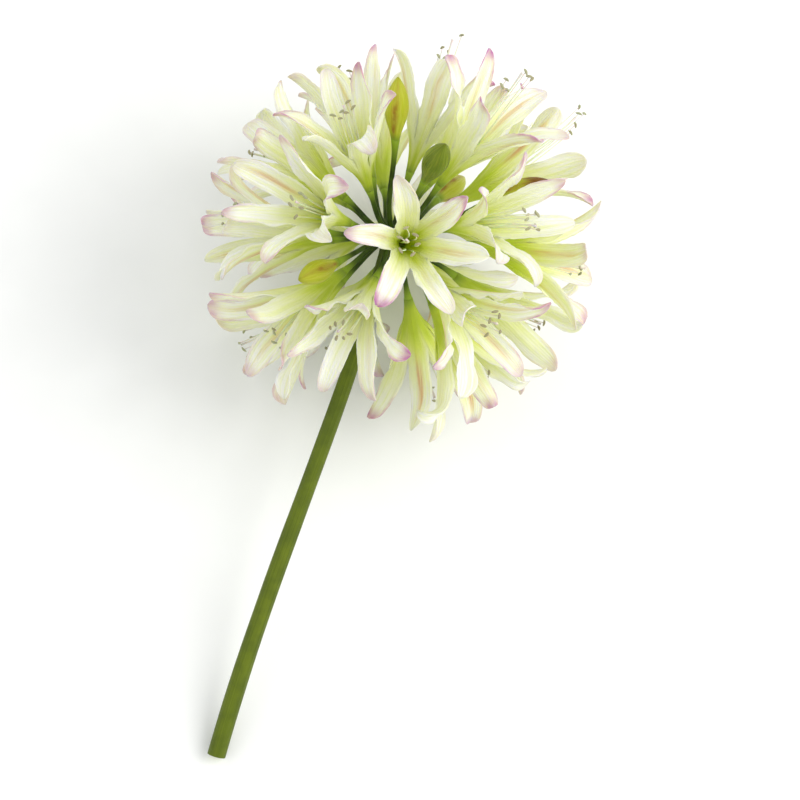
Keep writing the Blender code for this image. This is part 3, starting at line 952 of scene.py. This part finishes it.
def stamen_path(floret, bearing, reach, sweep, spread):
    """A curve from the throat out, in the floret's own frame, then placed and kept above the table."""
    place = floret.placement()
    outward = Vector((math.cos(bearing), math.sin(bearing), 0.0))
    throat_radius, throat_height, _ = rib(floret, 0, TUBE_LENGTH * FILAMENT_ROOT)
    start = outward * throat_radius * FILAMENT_ROOT + Vector((0.0, 0.0, throat_height))
    length = reach * TEPAL_LENGTH * floret.size - throat_height
    end = outward * spread + sweep + Vector((0.0, 0.0, throat_height + length))
    path = along_curve(
        start,
        start + Vector((0.0, 0.0, length * 0.4)),
        outward * spread * 0.8 + sweep * 0.35 + Vector((0.0, 0.0, throat_height + length * 0.72)),
        end,
        FILAMENT_RINGS,
    )
    return [pressed(place @ point, STAMENS_ABOVE_TABLE) for point in path]


def add_anther(bm, tip, ahead, draw):
    """Two pollen sacs grown together with a groove between them, balanced across the filament's end."""
    across = ahead.cross(Vector([draw.uniform(-1.0, 1.0) for _ in range(3)])).normalized()
    lying = (across + ahead * draw.uniform(-0.7, 0.7)).normalized()
    shares = (0.0, 0.05, 0.15, 0.32, 0.5, 0.68, 0.85, 0.95, 1.0)
    bow = ahead * ANTHER_BOW
    path = [tip + lying * ANTHER_LENGTH * (t - 0.5) - bow * (2.0 * t - 1.0) ** 2 for t in shares]
    radii = [ANTHER_RADIUS * (0.2 + 0.8 * math.sin(math.pi * t) ** 0.6) for t in shares]

    def two_sacs(_, angle):
        return 1.0 - ANTHER_GROOVE * abs(math.sin(angle)) ** 6

    swept(bm, path, radii, ANTHER_SIDES, ahead, two_sacs)


def build_stamens(number, floret, draw, filament_material, anther_material):
    threads = bmesh.new()
    anthers = bmesh.new()
    side = draw.uniform(0.0, math.tau)
    sweep = Vector((math.cos(side), math.sin(side), 0.0)) * STAMEN_SWEEP * draw.uniform(*SWEEP_SHARES)
    reach, unevenness = draw.uniform(*FILAMENT_REACH), FILAMENT_UNEVENNESS
    if number in OLDEST:
        reach, unevenness = LONG_REACH, LONG_UNEVENNESS
    for i in range(FILAMENTS):
        bearing = floret.turn + math.tau * i / FILAMENTS + draw.uniform(-0.15, 0.15)
        own_reach = reach + draw.uniform(-unevenness, unevenness)
        spread = STAMEN_SPREAD * draw.uniform(*SPREAD_SHARES)
        path = stamen_path(floret, bearing, own_reach, sweep, spread)
        radii = [FILAMENT_RADIUS * (1.0 - FILAMENT_TAPER * j / FILAMENT_RINGS) for j in range(len(path))]
        swept(threads, path, radii, FILAMENT_SIDES, floret.axis.orthogonal())
        add_anther(anthers, path[-1], (path[-1] - path[-2]).normalized(), draw)
    path = stamen_path(floret, side, reach + STYLE_OVERREACH, sweep * 1.1, 1.0 * MM)
    radii = [FILAMENT_RADIUS * STYLE_RADIUS] * (len(path) - 1) + [FILAMENT_RADIUS * STYLE_DOT_RADIUS]
    swept(threads, path, radii, FILAMENT_SIDES, floret.axis.orthogonal())
    add_piece(f"floret_{number:02d}_filaments", threads, filament_material)
    add_piece(f"floret_{number:02d}_anthers", anthers, anther_material)


thread_material = filament_skin()
pollen_material = anther_skin()
for number, floret in enumerate(blooms, start=1):
    build_stamens(number, floret, fine_draw, thread_material, pollen_material)

# Buds
# A bud that has yet to open is a pointed spindle of six tepals pressed edge to edge, firm and a little
# three-sided. The top ones have turned lime yellow with red-brown along their seams, and the youngest is
# still dark green. Each sits on the end of its own stalk.

BUD_LENGTH = 27.0 * MM
BUD_RADIUS = 4.9 * MM
BUD_BEND = 0.06
BUD_OUTLINE = ((0.0, 0.36), (0.12, 0.5), (0.38, 0.92), (0.58, 1.0), (0.8, 0.72), (0.93, 0.36), (1.0, 0.1))
BUD_RINGS = 40
BUD_SIDES = 48
SEAM_DEPTH = 0.07  # as a share of the bud's radius
SEAM_SPIRAL = 0.5  # how far the seams turn from foot to tip, in radians
THREE_SIDED = 0.03  # as a share of the bud's radius
YOUNGEST = 2  # the number of the bud that is still dark green
BROWN_TIPPED = 3

BUD_LIME = screen(184, 190, 40)
BUD_YELLOW = screen(206, 206, 84)
BUD_RUST = screen(150, 84, 32)
BUD_BROWN = screen(112, 52, 24)
BUD_DARK_GREEN = screen(102, 122, 24)
BUD_MID_GREEN = screen(152, 162, 44)


def bud_skin(name, body, light, seam_colour, seam_strength, brown_tip=0.0):
    made, tree, shader = new_material(name)
    along = noted(tree, "along")
    seam = noted(tree, "seam")
    veins = placed(tree, VEINS, {"Along": along, "Across": noted(tree, "across"), "Count": 16.0, "Seed": 4.0})
    mottle = placed(tree, MOTTLE, {"Patch size mm": 5.0, "Grain size mm": 0.3, "Seed": 5.0})
    colour = covered(tree, body, veins["Streaks"], light, 0.6)
    rust = times(tree, ramped(tree, seam, 0.75, 0.0), ramped(tree, along, 0.95, 0.4, 0.3, 1.0))
    rust = times(tree, rust, ramped(tree, mottle["Patches"], 0.0, 1.0, 0.5, 1.0))
    colour = covered(tree, colour, rust, seam_colour, seam_strength)
    if brown_tip:
        withered = reckoned(tree, "ADD", along, times(tree, veins["Streaks"], 0.1))
        colour = covered(tree, colour, ramped(tree, withered, 0.6, 0.85, 0.0, brown_tip), BUD_BROWN)
    colour = covered(tree, colour, ramped(tree, along, 0.16, 0.0), STALK_LIME)
    height = reckoned(tree, "ADD", veins["Height"], times(tree, mottle["Grain"], 0.2))
    feed(tree, shader, Base_Color=colour, Roughness=ramped(tree, mottle["Grain"], 0.0, 1.0, 0.34, 0.5),
         Normal=raised(tree, height, 0.12 * MM), Specular_IOR_Level=0.25,
         Subsurface_Weight=0.15, Subsurface_Scale=1.5 * MM)
    return made


def outline_at(share):
    """The bud's radius at a share of its length, smooth through the outline's places."""
    for i, ((low, wide), (high, next_wide)) in enumerate(zip(BUD_OUTLINE, BUD_OUTLINE[1:])):
        if share <= high:
            before = BUD_OUTLINE[max(0, i - 1)]
            after = BUD_OUTLINE[min(len(BUD_OUTLINE) - 1, i + 2)]
            span = high - low
            slope_in = (next_wide - before[1]) / (high - before[0]) * span
            slope_out = (after[1] - wide) / (after[0] - low) * span
            t = (share - low) / span
            return (wide * (2 * t**3 - 3 * t**2 + 1) + slope_in * (t**3 - 2 * t**2 + t)
                    + next_wide * (3 * t**2 - 2 * t**3) + slope_out * (t**3 - t**2))
    return BUD_OUTLINE[-1][1]


def off_seam(share, angle):
    """0 on one of the bud's three seams, 1 halfway between two."""
    return abs(math.sin(1.5 * (angle + SEAM_SPIRAL * share)))


def closed_tepals(share, angle):
    groove = SEAM_DEPTH * (1.0 - off_seam(share, angle)) ** 4 * math.sin(math.pi * share)
    return 1.0 - groove + THREE_SIDED * math.cos(3.0 * (angle + SEAM_SPIRAL * share) + math.pi)


def build_bud(number, direction, foot, size, material):
    bm = bmesh.new()
    shares = [i / BUD_RINGS for i in range(BUD_RINGS + 1)]
    path = [Vector((BUD_BEND * share * share, 0.0, share)) * BUD_LENGTH * size for share in shares]
    radii = [BUD_RADIUS * size * outline_at(share) for share in shares]
    swept(bm, path, radii, BUD_SIDES, Vector((1.0, 0.0, 0.0)), closed_tepals)
    seam, along = notes_of(bm, "seam"), notes_of(bm, "along")
    turned = direction.to_track_quat("Z", "X").to_matrix()
    for place, vert in enumerate(bm.verts):
        vert[seam] = off_seam(vert[along], math.tau * (place % BUD_SIDES) / BUD_SIDES)
        vert.co = foot + turned @ vert.co
    add_piece(f"bud_{number}_skin", bm, material, [f"bud_{number}"])


ripe_bud = bud_skin("bud_skin_lime", BUD_LIME, BUD_YELLOW, BUD_RUST, 0.9)
special_buds = {
    YOUNGEST: bud_skin("bud_skin_green", BUD_DARK_GREEN, BUD_MID_GREEN, STALK_DEEP_GREEN, 0.5),
    BROWN_TIPPED: bud_skin("bud_skin_brown_tip", BUD_LIME, BUD_YELLOW, BUD_RUST, 0.9, brown_tip=0.9),
}
for number, (direction, foot, size) in enumerate(buds, start=1):
    build_bud(number, direction, foot, size, special_buds.get(number, ripe_bud))

# Table
# The flower lies on a plain table top, a broad board painted a pale, matt white. The coat is faintly uneven,
# and the board's edges are far out of the picture.

TABLE_SIZE = 12.0
TABLE_BELOW = 0.15 * MM
TABLE_WHITE = screen(244, 245, 243)
TABLE_SHADE = screen(241, 242, 240)


def table_paint():
    made, tree, shader = new_material("table_paint")
    mottle = placed(tree, MOTTLE, {"Patch size mm": 60.0, "Grain size mm": 2.0, "Seed": 1.0})
    white = covered(tree, TABLE_WHITE, mottle["Patches"], TABLE_SHADE)
    feed(tree, shader, Base_Color=white, Roughness=ramped(tree, mottle["Grain"], 0.0, 1.0, 0.6, 0.7))
    return made


def build_table():
    bm = bmesh.new()
    bmesh.ops.create_grid(bm, x_segments=8, y_segments=8, size=TABLE_SIZE / 2.0)
    bmesh.ops.translate(bm, verts=bm.verts, vec=(0.0, 0.0, -TABLE_BELOW))
    new_object("table", bm, table_paint())


build_table()

# Light
# Bright, soft daylight from all round, with one broad lamp from the right of the picture and a weaker one
# opposite, so that the petals keep their form.

SKY = (0.98, 0.985, 1.0, 1.0)
SKY_STRENGTH = 0.83
LAMPS = (
    ("main_lamp", Vector((0.95, 0.3, 1.1)), 1.2, 13.5, (1.0, 0.99, 0.96)),
    ("far_lamp", Vector((-1.0, 0.1, 0.9)), 1.3, 3.0, (0.98, 0.99, 1.0)),
)
LAMPS_AIM = Vector((0.0, 0.0, 0.05))


def build_light():
    sky = bpy.data.worlds.new("sky")
    sky.use_nodes = True
    background = sky.node_tree.nodes["Background"]
    background.inputs["Color"].default_value = SKY
    background.inputs["Strength"].default_value = SKY_STRENGTH
    bpy.context.scene.world = sky
    for name, place, size, power, colour in LAMPS:
        lamp = bpy.data.lights.new(name, "AREA")
        lamp.shape = "DISK"
        lamp.size = size
        lamp.energy = power
        lamp.color = colour
        made = bpy.data.objects.new(name, lamp)
        made.location = place
        made.rotation_mode = "QUATERNION"
        made.rotation_quaternion = (place - LAMPS_AIM).to_track_quat("Z", "Y")
        bpy.context.scene.collection.objects.link(made)


build_light()

# Camera
# A long lens looks straight across the stem, from above now that the flower lies down, and is turned so that
# the stem leans to the lower left as it does in the picture.

LENS = 100.0
STEM_LEAN_IN_VIEW = 18.7  # degrees from upright
VIEW_MIDDLE = Vector((20.0, 11.0, 43.0)) * MM
VIEW_DISTANCE = 0.92


def build_camera():
    back = Vector((0.0, -UP_THE_STEM.z, UP_THE_STEM.y))
    lean = math.radians(STEM_LEAN_IN_VIEW)
    up = UP_THE_STEM * math.cos(lean) - Vector((1.0, 0.0, 0.0)) * math.sin(lean)
    right = up.cross(back)
    camera = bpy.data.objects.new("camera", bpy.data.cameras.new("camera"))
    camera.data.lens = LENS
    camera.rotation_mode = "QUATERNION"
    camera.rotation_quaternion = Matrix((right, up, back)).transposed().to_quaternion()
    camera.location = VIEW_MIDDLE + back * VIEW_DISTANCE
    bpy.context.scene.collection.objects.link(camera)
    bpy.context.scene.camera = camera
    bpy.context.scene.view_settings.view_transform = "Standard"


build_camera()
